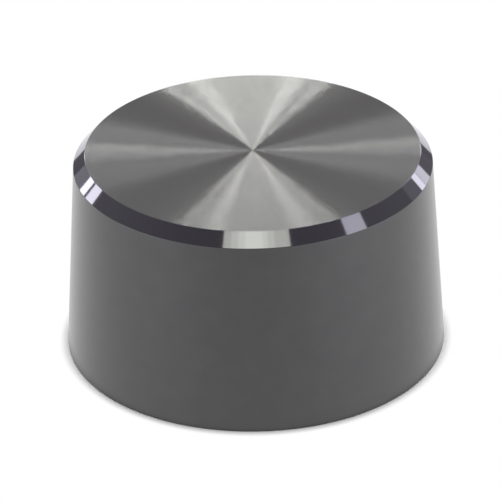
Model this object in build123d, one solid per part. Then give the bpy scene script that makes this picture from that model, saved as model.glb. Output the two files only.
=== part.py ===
from build123d import *

# A volume knob for the 6 mm shaft of a potentiometer, turned in one piece from aluminium bar.
#
# The outside tapers slightly from the base to a flat spun face, with a diamond-cut bevel round the face.
# The underside is faced flat. A recess for the potentiometer's nut is counterbored in its middle, and
# the blind shaft bore goes on from the recess's floor. A socket set screw sits in a radial hole on the
# side that faces away from the user, and clamps the shaft.
#
# The origin is the centre of the base. +Z runs up the shaft's axis, and the set screw is on the +Y side.
# Sizes are in millimetres and degrees.

import math
import os

# Outside of the knob
HEIGHT = 22.0
BASE_DIAMETER = 40.0
SIDE_TAPER = 1.3  # radius lost from the base to the bevel
BEVEL_WIDTH = 1.25  # radius lost over the bevel
BEVEL_HEIGHT = 1.35
BEVEL_EDGE_RADIUS = 0.05  # on both edges of the bevel
BASE_EDGE_BREAK = 0.1

# Recess in the underside for the potentiometer's nut and washer
RECESS_DIAMETER = 15.0
RECESS_DEPTH = 5.0
RECESS_EDGE_BREAK = 0.4

# Shaft bore
SHAFT_DIAMETER = 6.0
SHAFT_CLEARANCE = 0.05  # on the diameter
FACE_THICKNESS = 5.0  # metal from the end of the bore's wall to the spun face
BORE_MOUTH_CHAMFER = 0.5
DRILL_POINT_ANGLE = 118.0

# Set screw, an M3 cup-point screw with a hexagon socket
SCREW_DIAMETER = 3.0
SCREW_LENGTH = 6.0
SCREW_ABOVE_RECESS = 5.0  # from the recess's floor to the screw's axis
SCREW_SETBACK = 0.2  # from the bore's wall to the screw's point, with no shaft in the knob
SCREW_END_CHAMFER = 0.3
CUP_DIAMETER = 1.4
CUP_ANGLE = 120.0
SOCKET_SIDES = 6
SOCKET_ACROSS_FLATS = 1.5
SOCKET_DEPTH = 2.0
SOCKET_MOUTH_CHAMFER = 0.1

# Hole for the set screw
SCREW_HOLE_CLEARANCE = 0.05  # all round the screw, in place of the two threads
SCREW_HOLE_EDGE_BREAK = 0.3

# Worked out from the sizes above
BASE_RADIUS = BASE_DIAMETER / 2
SHOULDER_RADIUS = BASE_RADIUS - SIDE_TAPER
SHOULDER_HEIGHT = HEIGHT - BEVEL_HEIGHT
FACE_RADIUS = SHOULDER_RADIUS - BEVEL_WIDTH
RECESS_RADIUS = RECESS_DIAMETER / 2
BORE_RADIUS = (SHAFT_DIAMETER + SHAFT_CLEARANCE) / 2
BORE_TOP = HEIGHT - FACE_THICKNESS
SCREW_RADIUS = SCREW_DIAMETER / 2
SCREW_HEIGHT = RECESS_DEPTH + SCREW_ABOVE_RECESS
SCREW_POINT = BORE_RADIUS + SCREW_SETBACK  # from the knob's axis
SCREW_HOLE_RADIUS = SCREW_RADIUS + SCREW_HOLE_CLEARANCE


def section(*outline):
    """The half section, in the XZ plane, that a closed outline of (radius, height) points bounds."""
    points = [(radius, 0, height) for radius, height in outline]
    return make_face(Polyline(*points, close=True))


def turned(*outline):
    """The solid that a closed outline of (radius, height) points sweeps out round the Z axis."""
    return revolve(section(*outline), Axis.Z)


def cone_height(radius, angle):
    """How high a cone of this radius and full point angle stands."""
    return radius / math.tan(math.radians(angle / 2))


def blank():
    """The outside of the knob, with the metal still inside."""
    half = section(
        (0, 0),
        (BASE_RADIUS - BASE_EDGE_BREAK, 0),
        (BASE_RADIUS, BASE_EDGE_BREAK),
        (SHOULDER_RADIUS, SHOULDER_HEIGHT),
        (FACE_RADIUS, HEIGHT),
        (0, HEIGHT),
    )
    bevel_corners = half.vertices().filter_by(
        lambda corner: corner.X > FACE_RADIUS / 2 and corner.Z > SHOULDER_HEIGHT / 2
    )
    return revolve(fillet(bevel_corners, BEVEL_EDGE_RADIUS), Axis.Z)


def nut_recess():
    """The counterbore in the underside, with its edge broken."""
    return turned(
        (0, 0),
        (RECESS_RADIUS + RECESS_EDGE_BREAK, 0),
        (RECESS_RADIUS, RECESS_EDGE_BREAK),
        (RECESS_RADIUS, RECESS_DEPTH),
        (0, RECESS_DEPTH),
    )


def shaft_bore():
    """The blind bore, with a chamfered mouth in the recess's floor and a drill point at its end."""
    return turned(
        (0, RECESS_DEPTH),
        (BORE_RADIUS + BORE_MOUTH_CHAMFER, RECESS_DEPTH),
        (BORE_RADIUS, RECESS_DEPTH + BORE_MOUTH_CHAMFER),
        (BORE_RADIUS, BORE_TOP),
        (0, BORE_TOP + cone_height(BORE_RADIUS, DRILL_POINT_ANGLE)),
    )


def along_screw(shape):
    """Lays a shape that was made round the Z axis along the set screw's axis, +Z end outwards."""
    return Pos(0, 0, SCREW_HEIGHT) * Rot(-90, 0, 0) * shape


def screw_hole():
    """The radial hole from the shaft bore to the outside. A countersink breaks its outer edge."""
    taper = SIDE_TAPER / (SHOULDER_HEIGHT - BASE_EDGE_BREAK)
    side_radius = BASE_RADIUS - taper * (SCREW_HEIGHT - BASE_EDGE_BREAK)
    sink_start = side_radius - SCREW_HOLE_EDGE_BREAK
    sink_height = SCREW_HOLE_EDGE_BREAK + SCREW_RADIUS  # runs on well clear of the metal
    cutter = turned(
        (0, 0),
        (SCREW_HOLE_RADIUS, 0),
        (SCREW_HOLE_RADIUS, sink_start),
        (SCREW_HOLE_RADIUS + sink_height, sink_start + sink_height),
        (0, sink_start + sink_height),
    )
    return along_screw(Rot(0, 0, 90) * cutter)  # the cutter's seam now faces along the knob's axis


def knob_body():
    return blank() - nut_recess() - shaft_bore() - screw_hole()


def socket():
    """The hexagon socket, cut down from the screw's outer end, with a drilled cone at its floor."""
    floor_radius = SOCKET_ACROSS_FLATS / 2
    corner_radius = floor_radius / math.cos(math.pi / SOCKET_SIDES)
    mouth_radius = corner_radius + SOCKET_MOUTH_CHAMFER
    floor_height = SCREW_LENGTH - SOCKET_DEPTH
    hexagon = RegularPolygon(corner_radius, SOCKET_SIDES)
    mouth = turned(
        (0, SCREW_LENGTH - mouth_radius),
        (mouth_radius, SCREW_LENGTH),
        (0, SCREW_LENGTH),
    )
    floor = turned(
        (0, floor_height - cone_height(floor_radius, DRILL_POINT_ANGLE)),
        (floor_radius, floor_height),
        (0, floor_height),
    )
    return extrude(Pos(0, 0, floor_height) * hexagon, SOCKET_DEPTH) + mouth + floor


def set_screw():
    """The set screw, cup point towards the shaft and socket towards the outside."""
    cup_radius = CUP_DIAMETER / 2
    shank = turned(
        (0, cone_height(cup_radius, CUP_ANGLE)),
        (cup_radius, 0),
        (SCREW_RADIUS, SCREW_RADIUS - cup_radius),
        (SCREW_RADIUS, SCREW_LENGTH - SCREW_END_CHAMFER),
        (SCREW_RADIUS - SCREW_END_CHAMFER, SCREW_LENGTH),
        (0, SCREW_LENGTH),
    )
    return along_screw(Pos(0, 0, SCREW_POINT) * (shank - socket()))


def main():
    os.makedirs("parts", exist_ok=True)
    export_step(knob_body(), "parts/knob_body.step")
    export_step(set_screw(), "parts/set_screw.step")


main()
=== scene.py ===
"""The looks of a turned aluminium volume knob: a bead-blasted dark side, a diamond-cut mirror bevel, a spun
face that shines in rays, and the turned underside with its set screw. Metres throughout."""

import math

import bmesh
import bpy
from mathutils import Matrix, Vector


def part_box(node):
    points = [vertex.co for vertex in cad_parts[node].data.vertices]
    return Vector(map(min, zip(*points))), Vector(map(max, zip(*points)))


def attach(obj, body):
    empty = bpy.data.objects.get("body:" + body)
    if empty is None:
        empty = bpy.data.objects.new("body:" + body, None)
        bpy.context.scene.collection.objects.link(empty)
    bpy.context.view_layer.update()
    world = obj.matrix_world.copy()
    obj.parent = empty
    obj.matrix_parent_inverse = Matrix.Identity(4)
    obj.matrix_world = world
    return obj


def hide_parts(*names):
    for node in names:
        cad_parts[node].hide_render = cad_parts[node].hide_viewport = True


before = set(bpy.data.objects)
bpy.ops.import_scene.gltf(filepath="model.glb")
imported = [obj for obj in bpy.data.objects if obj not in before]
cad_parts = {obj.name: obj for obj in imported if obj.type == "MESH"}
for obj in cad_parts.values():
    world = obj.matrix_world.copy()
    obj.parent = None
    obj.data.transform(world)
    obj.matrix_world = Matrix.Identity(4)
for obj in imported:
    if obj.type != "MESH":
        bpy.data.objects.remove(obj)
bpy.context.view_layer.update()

MM = 0.001

# The knob's own sizes, as the CAD solids have them
BODY_LOW, BODY_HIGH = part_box("knob_body")
SCREW_LOW, SCREW_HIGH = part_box("set_screw")
HEIGHT = BODY_HIGH.z
BASE_RADIUS = BODY_HIGH.x
SHOULDER_RADIUS = BASE_RADIUS - 1.3 * MM
FACE_RADIUS = SHOULDER_RADIUS - 1.25 * MM
SHOULDER_HEIGHT = HEIGHT - 1.35 * MM
BEVEL_EDGE_RADIUS = 0.05 * MM
BASE_EDGE_BREAK = 0.1 * MM
RECESS_RADIUS = 7.5 * MM
RECESS_DEPTH = 5.0 * MM
RECESS_EDGE_BREAK = 0.4 * MM
BORE_RADIUS = 3.025 * MM
BORE_TOP = HEIGHT - 5.0 * MM
BORE_MOUTH_CHAMFER = 0.5 * MM
DRILL_POINT_ANGLE = math.radians(118)

# The set screw and its hole
SCREW_RADIUS = SCREW_HIGH.x
SCREW_HEIGHT = (SCREW_LOW.z + SCREW_HIGH.z) / 2
SCREW_POINT = SCREW_LOW.y
SCREW_END = SCREW_HIGH.y
SCREW_END_CHAMFER = 0.3 * MM
POINT_RADIUS = 0.7 * MM  # of the screw's narrow end
THREAD_PITCH = 0.5 * MM
THREAD_DEPTH = 0.27 * MM
THREAD_FLAT = 0.1  # share of the pitch that is flat at the crest, and again at the root
THREAD_CLEARANCE = 0.05 * MM
HOLE_EDGE_BREAK = 0.3 * MM
SOCKET_SIDES = 6
SOCKET_ACROSS_FLATS = 1.5 * MM
SOCKET_DEPTH = 2.0 * MM

# How finely the meshes are cut
AROUND = 360
SIDE_ROW = 1.0 * MM
FILLET_STEPS = 4
SUPPORT = 0.02 * MM  # distance of the rows that hold a rounded edge's shading off its neighbours
THREAD_AROUND = 48
THREAD_ROWS_PER_TURN = 8
WELD = 0.005 * MM  # shorter edges than this are closed up after a cut
SHARP_ANGLE = math.radians(30)  # edges that turn by more than this are shaded sharp

# The rings of the spun face, which have the round bottoms and sharp ridges that a round-nosed tool leaves
RING_PITCH = 0.04 * MM
RING_SLOPE = math.radians(25)  # at the ridges
RING_LEAN = math.radians(7)  # how far the rings lean in at the face's edge; less towards the centre

# Camera, fitted to the photograph's outline
CAMERA_DISTANCE = 0.4106
CAMERA_ELEVATION = math.radians(28.89)
CAMERA_ROLL = math.radians(-1.13)
CAMERA_AIM = Vector((-0.48 * MM, -0.35 * MM, 10.36 * MM))
CAMERA_LENS = 281.1
SENSOR = 36.0

# The studio
FLOOR_RADIUS = 0.175
FLOOR_COLOUR = (0.95, 0.95, 0.95)
SHADOW_WIDTH = 0.0010  # how far from the knob the floor has faded to the background's white
ROOM_RADIUS = 2.5
ROOM_FADE = (-0.7 * ROOM_RADIUS, 0.3 * ROOM_RADIUS)  # along Y, from the front's shade to the rear's
ROOM_FRONT = (0.085, 0.083, 0.085)
ROOM_REAR = (0.157, 0.151, 0.157)
LIGHT_DISTANCE = 0.5
CEILING = 0.522
LAYER = 0.001  # how far apart lamps hang where they overlap
FRONT_STRIPS = (-0.385, -0.305)  # along Y
WHITE = (1.0, 1.0, 1.0)
SOFT = (0.99, 1.0, 0.96)
WARM = (0.95, 1.0, 0.78)

# Nodes
NOISE_LOW, NOISE_HIGH = 0.3, 0.7  # most of a noise's values lie between these
MIX_A, MIX_B, MIX_RESULT = 6, 7, 2  # a Mix node's sockets for colours, which share their names with others


def rounded_corner(before, corner, after, radius, steps):
    """Points of the arc that rounds one corner of a profile, with a support point just outside each end."""
    corner = Vector(corner)
    back = (Vector(before) - corner).normalized()
    on = (Vector(after) - corner).normalized()
    half = back.angle(on) / 2
    centre = corner + (back + on).normalized() * (radius / math.sin(half))
    start = corner + back * (radius / math.tan(half))
    sweep = math.copysign(math.pi - 2 * half, back.y * on.x - back.x * on.y)
    turns = [sweep * step / steps for step in range(steps + 1)]
    arc = [centre + Matrix.Rotation(turn, 2) @ (start - centre) for turn in turns]
    return [arc[0] + back * SUPPORT, *arc, arc[-1] + on * SUPPORT]


def divided(start, end, longest):
    """Points from start up to, but not with, end, no further apart than longest."""
    start, end = Vector(start), Vector(end)
    count = max(1, math.ceil((end - start).length / longest))
    return [start.lerp(end, index / count) for index in range(count)]


def body_profile():
    """The knob's half section as (finish, points) stretches, from the bore's drill point round to the face's
    centre. Each point is (radius, height)."""
    drill_point = (0, BORE_TOP + BORE_RADIUS / math.tan(DRILL_POINT_ANGLE / 2))
    bore_end = (BORE_RADIUS, BORE_TOP)
    bore_mouth = (BORE_RADIUS, RECESS_DEPTH + BORE_MOUTH_CHAMFER)
    base_corner = (BASE_RADIUS, BASE_EDGE_BREAK)
    shoulder = (SHOULDER_RADIUS, SHOULDER_HEIGHT)
    face_edge = (FACE_RADIUS, HEIGHT)
    face_centre = (0, HEIGHT)
    shoulder_arc = rounded_corner(base_corner, shoulder, face_edge, BEVEL_EDGE_RADIUS, FILLET_STEPS)
    face_arc = rounded_corner(shoulder, face_edge, face_centre, BEVEL_EDGE_RADIUS, FILLET_STEPS)
    underside = [
        (BORE_RADIUS + BORE_MOUTH_CHAMFER, RECESS_DEPTH),
        (RECESS_RADIUS, RECESS_DEPTH),
        (RECESS_RADIUS, RECESS_EDGE_BREAK),
        (RECESS_RADIUS + RECESS_EDGE_BREAK, 0),
        (BASE_RADIUS - BASE_EDGE_BREAK, 0),
    ]
    return [
        ("turned", [drill_point, *divided(bore_end, bore_mouth, SIDE_ROW), bore_mouth, *underside]),
        ("blasted", [*divided(base_corner, shoulder_arc[0], SIDE_ROW), *shoulder_arc[:-1]]),
        ("cut", [shoulder_arc[-1], *face_arc[:-2]]),
        ("spun", [*face_arc[-2:], face_centre]),
    ]


def lathe(name, stretches, around, finishes):
    """A closed mesh turned round the Z axis. The band below each point has the finish of its stretch."""
    points = [
        (float(radius), float(height), finishes.index(finish))
        for finish, stretch in stretches
        for radius, height in stretch
    ]
    turns = [2 * math.pi * step / around for step in range(around)]
    vertices, rings = [], []
    for radius, height, _ in points:
        if radius == 0:
            rings.append([len(vertices)] * around)
            vertices.append((0, 0, height))
            continue
        rings.append(list(range(len(vertices), len(vertices) + around)))
        vertices += [(radius * math.cos(turn), radius * math.sin(turn), height) for turn in turns]
    faces, slots = [], []
    for (low, high), (_, _, slot) in zip(zip(rings, rings[1:]), points[1:]):
        for step in range(around):
            after = (step + 1) % around
            corners = [low[step], low[after], high[after], high[step]]
            faces.append(list(dict.fromkeys(corners)))
            slots.append(slot)
    return new_mesh(name, vertices, faces, slots)


def new_mesh(name, vertices, faces, slots=None):
    mesh = bpy.data.meshes.new(name)
    mesh.from_pydata(vertices, [], faces)
    if slots:
        mesh.polygons.foreach_set("material_index", slots)
    mesh.update()
    piece = bpy.data.objects.new(name, mesh)
    bpy.context.scene.collection.objects.link(piece)
    return piece


def thread_radius(along, turn):
    """Radius of the screw thread's flank line at a distance along the screw's axis and an angle round it."""
    phase = (along / THREAD_PITCH - turn / (2 * math.pi)) % 1
    ridge = 1 - abs(2 * phase - 1)
    flank = (ridge - THREAD_FLAT) / (1 - 2 * THREAD_FLAT)
    return SCREW_RADIUS - THREAD_DEPTH + THREAD_DEPTH * min(1, max(0, flank))


def threaded_rod(name, start, end, limit):
    """A closed rod along +Y at the screw's height. limit(along, radius) trims or widens the thread."""
    rows = math.ceil((end - start) / THREAD_PITCH * THREAD_ROWS_PER_TURN)
    vertices, faces = [], []
    for row in range(rows + 1):
        along = start + (end - start) * row / rows
        for step in range(THREAD_AROUND):
            turn = 2 * math.pi * step / THREAD_AROUND
            radius = limit(along, thread_radius(along, turn))
            vertices.append((radius * math.sin(turn), along, SCREW_HEIGHT + radius * math.cos(turn)))
    for row in range(rows):
        low, high = row * THREAD_AROUND, (row + 1) * THREAD_AROUND
        for step in range(THREAD_AROUND):
            after = (step + 1) % THREAD_AROUND
            faces.append([low + step, low + after, high + after, high + step])
    faces.append(list(range(THREAD_AROUND))[::-1])
    faces.append(list(range(rows * THREAD_AROUND, (rows + 1) * THREAD_AROUND)))
    return new_mesh(name, vertices, faces)


def clean_up(mesh):
    """Makes the faces that a cut leaves triangles, and closes up the slivers among them."""
    work = bmesh.new()
    work.from_mesh(mesh)
    bmesh.ops.remove_doubles(work, verts=work.verts, dist=WELD)
    bmesh.ops.triangulate(work, faces=work.faces)
    bmesh.ops.dissolve_degenerate(work, edges=work.edges, dist=WELD)
    work.to_mesh(mesh)
    work.free()


def cut_away(piece, cutter):
    """Takes the cutter's volume out of the piece, and deletes the cutter."""
    modifier = piece.modifiers.new("cut", "BOOLEAN")
    modifier.operation = "DIFFERENCE"
    modifier.solver = "EXACT"
    modifier.object = cutter
    evaluated = piece.evaluated_get(bpy.context.evaluated_depsgraph_get())
    mesh = bpy.data.meshes.new_from_object(evaluated)
    piece.modifiers.clear()
    piece.data = mesh
    bpy.data.objects.remove(cutter)
    clean_up(mesh)


def smooth(piece):
    """Smooth shading, with the sharp edges left sharp."""
    piece.data.polygons.foreach_set("use_smooth", [True] * len(piece.data.polygons))
    piece.data.set_sharp_from_angle(angle=SHARP_ANGLE)


def knob_body():
    """The turned body, with the threaded hole for the set screw cut through its side."""
    finishes = ["turned", "blasted", "cut", "spun"]
    piece = lathe("knob_turned", body_profile(), AROUND, finishes)
    taper = (BASE_RADIUS - SHOULDER_RADIUS) / (SHOULDER_HEIGHT - BASE_EDGE_BREAK)
    side_radius = BASE_RADIUS - taper * (SCREW_HEIGHT - BASE_EDGE_BREAK)
    sink_start = side_radius - HOLE_EDGE_BREAK - SCREW_RADIUS - THREAD_CLEARANCE

    def hole_limit(along, radius):
        if along < BORE_RADIUS + THREAD_PITCH / 2:
            return SCREW_RADIUS + THREAD_CLEARANCE
        return max(radius + THREAD_CLEARANCE, along - sink_start)

    cutter = threaded_rod("screw_hole", 0, BASE_RADIUS + SCREW_RADIUS, hole_limit)
    cut_away(piece, cutter)
    smooth(piece)
    return piece


def socket_cutter():
    """The screw's hexagon socket with its drilled floor, run on past the screw's end."""
    corner_radius = SOCKET_ACROSS_FLATS / 2 / math.cos(math.pi / SOCKET_SIDES)
    floor = SCREW_END - SOCKET_DEPTH
    outside = SCREW_END + SCREW_END_CHAMFER
    drill_point = floor - corner_radius / math.tan(DRILL_POINT_ANGLE / 2)
    turns = [2 * math.pi / SOCKET_SIDES * corner for corner in range(SOCKET_SIDES)]
    ring = [(corner_radius * math.sin(turn), corner_radius * math.cos(turn)) for turn in turns]
    vertices = [(x, along, SCREW_HEIGHT + z) for along in (floor, outside) for x, z in ring]
    tip = len(vertices)
    vertices.append((0, drill_point, SCREW_HEIGHT))
    pairs = [(corner, (corner + 1) % SOCKET_SIDES) for corner in range(SOCKET_SIDES)]
    walls = [[corner, after, SOCKET_SIDES + after, SOCKET_SIDES + corner] for corner, after in pairs]
    cone = [[after, corner, tip] for corner, after in pairs]
    return new_mesh("socket", vertices, [*walls, *cone, list(range(SOCKET_SIDES, tip))])


def set_screw():
    """The set screw, with its thread, its chamfered end, its narrowed point and its socket."""

    def shank_limit(along, radius):
        from_point = POINT_RADIUS + (along - SCREW_POINT)
        from_end = SCREW_RADIUS - SCREW_END_CHAMFER + (SCREW_END - along)
        return min(radius, from_point, from_end)

    piece = threaded_rod("set_screw_threaded", SCREW_POINT, SCREW_END, shank_limit)
    cut_away(piece, socket_cutter())
    smooth(piece)
    return piece


def feed(tree, socket, value):
    """Sets a socket to a constant, or links another node's output to it."""
    if isinstance(value, bpy.types.NodeSocket):
        tree.links.new(value, socket)
    else:
        socket.default_value = value


def add(tree, kind, inputs, **settings):
    """A node of this kind, with its properties set and its inputs fed. The inputs go by name or number."""
    node = tree.nodes.new(kind)
    for key, value in settings.items():
        setattr(node, key, value)
    for key, value in inputs.items():
        feed(tree, node.inputs[key], value)
    return node


def maths(tree, operation, *values):
    """The result of one Math node. Each value is a number or another node's output."""
    return add(tree, "ShaderNodeMath", dict(enumerate(values)), operation=operation).outputs[0]


def squared(tree, value):
    return maths(tree, "MULTIPLY", value, value)


def point(tree):
    """The shaded point, in metres from the centre of the knob's base."""
    return add(tree, "ShaderNodeTexCoord", {}).outputs["Object"]


def radius_of_point(tree):
    """The distance of the shaded point from the knob's axis, in metres."""
    flat = add(tree, "ShaderNodeVectorMath", {0: point(tree), 1: (1, 1, 0)}, operation="MULTIPLY")
    return add(tree, "ShaderNodeVectorMath", {0: flat.outputs[0]}, operation="LENGTH").outputs["Value"]


def ring_noise(tree, pitch, detail=2.0):
    """Noise that changes only with the distance from the knob's axis, with rings about this far apart."""
    inputs = {"W": radius_of_point(tree), "Scale": 1 / pitch, "Detail": detail, "Roughness": 0.6}
    return add(tree, "ShaderNodeTexNoise", inputs, noise_dimensions="1D").outputs["Fac"]


def grain_noise(tree, size, detail=2.0):
    """Noise in three dimensions, with grains about this large."""
    inputs = {"Vector": point(tree), "Scale": 1 / size, "Detail": detail, "Roughness": 0.5}
    return add(tree, "ShaderNodeTexNoise", inputs).outputs["Fac"]


def spread(tree, value, low, high):
    """Maps a noise value, from its usual range, on to low to high."""
    inputs = {"Value": value, "From Min": NOISE_LOW, "From Max": NOISE_HIGH, "To Min": low, "To Max": high}
    return add(tree, "ShaderNodeMapRange", inputs, clamp=True).outputs["Result"]


def between(tree, factor, dark, light):
    """A colour between two, by a factor from 0 to 1."""
    inputs = {"Factor": factor, MIX_A: (*dark, 1), MIX_B: (*light, 1)}
    return add(tree, "ShaderNodeMix", inputs, data_type="RGBA").outputs[MIX_RESULT]


def tint(tree, shader, noise, dark, light):
    """Lets a noise vary the shader's colour."""
    feed(tree, shader.inputs["Base Color"], between(tree, spread(tree, noise, 0, 1), dark, light))


def roughen(tree, shader, noise, low, high):
    """Lets a noise vary the shader's roughness."""
    feed(tree, shader.inputs["Roughness"], spread(tree, noise, low, high))


def bump(tree, shader, height, depth, filter_width=0.1):
    """Gives the shader a bump whose height runs over this depth, in metres."""
    inputs = {"Height": height, "Distance": depth, "Filter Width": filter_width}
    feed(tree, shader.inputs["Normal"], add(tree, "ShaderNodeBump", inputs).outputs["Normal"])


def new_material(name, constants):
    """A material, its node tree and its Principled shader, with the shader's constant sockets set."""
    material = bpy.data.materials.new(name)
    material.use_nodes = True
    shader = material.node_tree.nodes["Principled BSDF"]
    for socket, value in constants.items():
        shader.inputs[socket].default_value = value
    return material, material.node_tree, shader


def surface(tree, shader_output):
    """Makes a shader's output the material's surface."""
    feed(tree, tree.nodes["Material Output"].inputs["Surface"], shader_output)


def blasted_aluminium():
    """The side: bead-blasted and dyed dark grey, under the clear skin that anodising leaves."""
    skin = {"Metallic": 1.0, "Coat Weight": 1.0, "Coat Roughness": 0.24, "Coat IOR": 1.57}
    material, tree, shader = new_material("blasted_aluminium", skin)
    tint(tree, shader, grain_noise(tree, size=2.5 * MM), (0.043, 0.043, 0.046), (0.048, 0.048, 0.051))
    grain = grain_noise(tree, size=0.09 * MM, detail=3)
    roughen(tree, shader, grain, 0.50, 0.58)
    bump(tree, shader, grain, depth=0.006 * MM)
    return material


def cut_aluminium():
    """The bevel: cut with a diamond tool to a mirror, and anodised."""
    material, tree, shader = new_material("cut_aluminium", {"Metallic": 1.0})
    lines = ring_noise(tree, pitch=0.04 * MM)
    tint(tree, shader, lines, (0.36, 0.35, 0.415), (0.38, 0.37, 0.435))
    roughen(tree, shader, lines, 0.04, 0.08)
    return material


def spun_aluminium():
    """The face: turned in fine rings, so that each light shines in it as a ray from the centre."""
    gloss = {"Metallic": 1.0, "Anisotropic": 1.0, "Anisotropic Rotation": 0.25}
    material, tree, shader = new_material("spun_aluminium", gloss)
    tone = spread(tree, ring_noise(tree, pitch=0.1 * MM), 0, 1)
    feed(tree, shader.inputs["Base Color"], between(tree, tone, (0.49, 0.49, 0.483), (0.51, 0.51, 0.503)))
    roughen(tree, shader, tone, 0.21, 0.22)  # spread a second time, so the rings part into two shades
    radius = radius_of_point(tree)
    across = maths(tree, "PINGPONG", radius, RING_PITCH / 2)
    grooves = maths(tree, "MULTIPLY", squared(tree, across), math.tan(RING_SLOPE) / RING_PITCH)
    lean = maths(tree, "MULTIPLY", squared(tree, radius), math.tan(RING_LEAN) / 2 / FACE_RADIUS)
    bump(tree, shader, maths(tree, "ADD", grooves, lean), depth=1, filter_width=0.005)
    tangent = add(tree, "ShaderNodeTangent", {}, direction_type="RADIAL", axis="Z")
    feed(tree, shader.inputs["Tangent"], tangent.outputs[0])
    return material


def turned_aluminium():
    """The underside, the recess and the bore: left as the lathe tool cut them, and anodised with the rest."""
    material, tree, shader = new_material("turned_aluminium", {"Metallic": 1.0})
    rings = ring_noise(tree, pitch=0.18 * MM, detail=1)
    tint(tree, shader, rings, (0.105, 0.105, 0.112), (0.13, 0.13, 0.137))
    roughen(tree, shader, rings, 0.28, 0.36)
    bump(tree, shader, rings, depth=0.01 * MM)
    return material


def black_steel():
    """The set screw: hardened steel with a black oxide."""
    material, tree, shader = new_material("black_steel", {"Metallic": 1.0})
    tint(tree, shader, grain_noise(tree, size=0.6 * MM), (0.035, 0.034, 0.034), (0.06, 0.058, 0.058))
    grain = grain_noise(tree, size=0.08 * MM)
    roughen(tree, shader, grain, 0.35, 0.5)
    bump(tree, shader, grain, depth=0.004 * MM)
    return material


def dress_body():
    piece = knob_body()
    for make in (turned_aluminium, blasted_aluminium, cut_aluminium, spun_aluminium):
        piece.data.materials.append(make())
    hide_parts("knob_body")
    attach(piece, "root")


def dress_screw():
    piece = set_screw()
    piece.data.materials.append(black_steel())
    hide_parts("set_screw")
    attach(piece, "root")


def camera():
    back = Vector((0, -math.cos(CAMERA_ELEVATION), math.sin(CAMERA_ELEVATION)))
    middle = Vector((0, 0, HEIGHT / 2))
    data = bpy.data.cameras.new("camera")
    data.sensor_width = SENSOR
    data.lens = CAMERA_LENS
    data.clip_start = 0.01
    data.clip_end = 10
    eye = bpy.data.objects.new("camera", data)
    bpy.context.scene.collection.objects.link(eye)
    place = middle + back * CAMERA_DISTANCE
    aim = (CAMERA_AIM - place).to_track_quat("-Z", "Y").to_matrix().to_4x4()
    eye.matrix_world = Matrix.Translation(place) @ aim @ Matrix.Rotation(CAMERA_ROLL, 4, "Z")
    bpy.context.scene.camera = eye


def lamp(name, place, width, height, strength, colour=WHITE):
    """A rectangular soft light of this radiance, which the camera doesn't see."""
    data = bpy.data.lights.new(name, "AREA")
    data.shape = "RECTANGLE"
    data.color = colour
    data.size, data.size_y = width, height
    data.energy = strength * math.pi * width * height
    light = bpy.data.objects.new(name, data)
    light.visible_camera = False
    light.matrix_world = place
    bpy.context.scene.collection.objects.link(light)
    return light


def softbox(name, azimuth, elevation, width, height, strength, roll=0):
    """A soft light that faces the knob. Azimuth 0 is +X and 90 is +Y, away from the camera."""
    azimuth, elevation = math.radians(azimuth), math.radians(elevation)
    level = math.cos(elevation)
    away = Vector((math.cos(azimuth) * level, math.sin(azimuth) * level, math.sin(elevation)))
    turn = away.to_track_quat("Z", "Y").to_matrix().to_4x4() @ Matrix.Rotation(math.radians(roll), 4, "Z")
    return lamp(name, Matrix.Translation(away * LIGHT_DISTANCE) @ turn, width, height, strength)


def ceiling_box(name, left, right, near, far, strength, drop=0, colour=WHITE):
    """A soft light that lies level above the knob, this far under the ceiling."""
    place = Matrix.Translation(((left + right) / 2, (near + far) / 2, CEILING - drop))
    return lamp(name, place, right - left, far - near, strength, colour)


def background_rays(tree):
    """A factor of 1 for the rays that see the background: camera, glossy and transmission rays."""
    rays = add(tree, "ShaderNodeLightPath", {}).outputs
    seen = maths(tree, "MAXIMUM", rays["Is Camera Ray"], rays["Is Glossy Ray"])
    return maths(tree, "MAXIMUM", seen, rays["Is Transmission Ray"])


def floor_material():
    """White paper. It keeps the knob's shadow, and fades to the background's white beyond it."""
    paper = {"Base Color": (*FLOOR_COLOUR, 1), "Roughness": 0.9, "Specular IOR Level": 0.0}
    material, tree, shader = new_material("floor", paper)
    edge = {"Value": radius_of_point(tree), "From Min": BASE_RADIUS, "From Max": BASE_RADIUS + SHADOW_WIDTH}
    fade = add(tree, "ShaderNodeMapRange", edge, interpolation_type="SMOOTHSTEP")
    factor = maths(tree, "MULTIPLY", fade.outputs["Result"], background_rays(tree))
    white = add(tree, "ShaderNodeEmission", {"Color": (*WHITE, 1)})
    mix = add(tree, "ShaderNodeMixShader", {0: factor, 1: shader.outputs[0], 2: white.outputs[0]})
    surface(tree, mix.outputs[0])
    return material


def floor():
    turns = [2 * math.pi * step / AROUND for step in range(AROUND)]
    rim = [(FLOOR_RADIUS * math.cos(turn), FLOOR_RADIUS * math.sin(turn), 0) for turn in turns]
    sheet = new_mesh("floor", rim, [list(range(AROUND))])
    sheet.data.materials.append(floor_material())


def room_material():
    """An even glow that is a little lighter at the rear."""
    material, tree, _ = new_material("room", {})
    place = add(tree, "ShaderNodeSeparateXYZ", {0: point(tree)})
    span = {"Value": place.outputs["Y"], "From Min": ROOM_FADE[0], "From Max": ROOM_FADE[1]}
    depth = add(tree, "ShaderNodeMapRange", span)
    shade = between(tree, depth.outputs["Result"], ROOM_FRONT, ROOM_REAR)
    surface(tree, add(tree, "ShaderNodeEmission", {"Color": shade}).outputs[0])
    return material


def dark_room():
    """The studio's dark walls, which the camera doesn't see but the metal does."""
    bpy.ops.mesh.primitive_ico_sphere_add(subdivisions=4, radius=ROOM_RADIUS)
    walls = bpy.context.object
    walls.name = "room"
    walls.visible_camera = False
    walls.data.materials.append(room_material())


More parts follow.
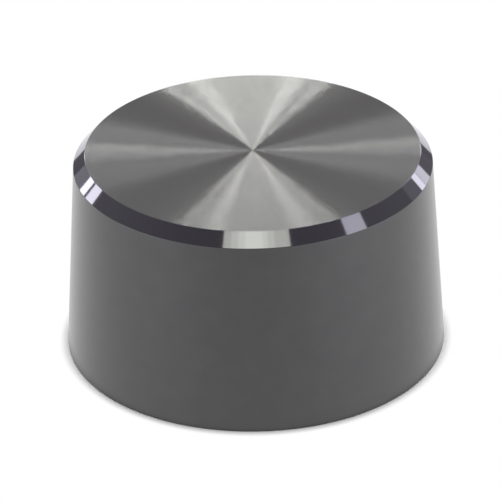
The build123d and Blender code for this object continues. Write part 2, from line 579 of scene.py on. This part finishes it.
def white_world():
    """White behind everything, for the rays that see the background."""
    world = bpy.data.worlds.new("world")
    bpy.context.scene.world = world
    world.use_nodes = True
    tree = world.node_tree
    background = tree.nodes["Background"]
    feed(tree, background.inputs["Color"], (*WHITE, 1))
    feed(tree, background.inputs["Strength"], background_rays(tree))


def lights():
    """The lamps over the knob, which make the face's rays, and those round it, for the bevel and the side."""
    for name, left, right, near, far, strength, layer in (
        ("over_wide", -0.26, 0.26, 0.09, 0.27, 0.35, 0),
        ("over", -0.098, 0.106, 0.070, 0.240, 4.3, 1),
        ("over_left", -0.091, -0.056, 0.17, 0.33, 3.4, 2),
        ("over_right", 0.066, 0.105, 0.17, 0.33, 3.8, 2),
        ("over_gap_left", -0.115, -0.098, 0.09, 0.27, 2.8, 1),
        ("over_gap_right", 0.106, 0.130, 0.09, 0.27, 3.2, 1),
        ("over_far_left", -0.136, -0.115, 0.21, 0.27, 14.5, 1),
        ("over_far_right", 0.130, 0.154, 0.21, 0.27, 15.0, 1),
    ):
        ceiling_box(name, left, right, near, far, strength, drop=layer * LAYER, colour=SOFT)
    for layer, (left, right, strength) in enumerate(
        [(-0.154, 0.176, 0.98), (-0.115, 0.10, 0.2), (-0.08, 0.065, 0.2), (-0.045, 0.04, 0.18)]
    ):
        ceiling_box(f"front_{layer}", left, right, *FRONT_STRIPS, strength, drop=layer * LAYER, colour=WARM)
    for name, azimuth, elevation, width, height, strength, roll in (
        ("left_rear_a", 141.1, 14.6, 0.052, 0.068, 2.5, 35.8),
        ("left_rear_b", 148.7, 19.7, 0.066, 0.068, 1.95, 34.9),
        ("right_rear_a", 37.5, 15.6, 0.046, 0.068, 1.75, -35.6),
        ("right_rear_b", 43.3, 11.4, 0.072, 0.068, 1.15, -36.5),
        ("right_rear_c", 29.9, 21.0, 0.085, 0.068, 0.08, -34.5),
        ("right_front", 345.4, 43.5, 0.097, 0.067, 0.78, -27.2),
        ("rear_low_right", 61, 12, 0.07, 0.14, 6.4, 0),
        ("rear_low_left", 119, 12, 0.07, 0.14, 5.8, 0),
        ("shoulder_right", 48, 28, 0.22, 0.17, 1.05, 0),
        ("shoulder_left", 132, 29, 0.22, 0.18, 0.8, 0),
        ("rear", 90, 20, 0.47, 0.27, 0.16, 0),
        ("low_left", 139, 9, 0.20, 0.10, 0.20, 0),
        ("low_right", 46, 6, 0.21, 0.11, 0.04, 0),
        ("side_left", 208, 8, 0.47, 0.21, 4.2, 0),
        ("side_right", 332, 8, 0.47, 0.21, 5.2, 0),
    ):
        softbox(name, azimuth, elevation, width, height, strength, roll)
    fill = ceiling_box("floor_fill", -0.8, 0.8, -0.8, 0.8, 1.0, drop=-0.4)
    fill.visible_glossy = False


def studio():
    floor()
    dark_room()
    white_world()
    lights()


bpy.context.scene.view_settings.view_transform = "Standard"
dress_body()
dress_screw()
studio()
camera()
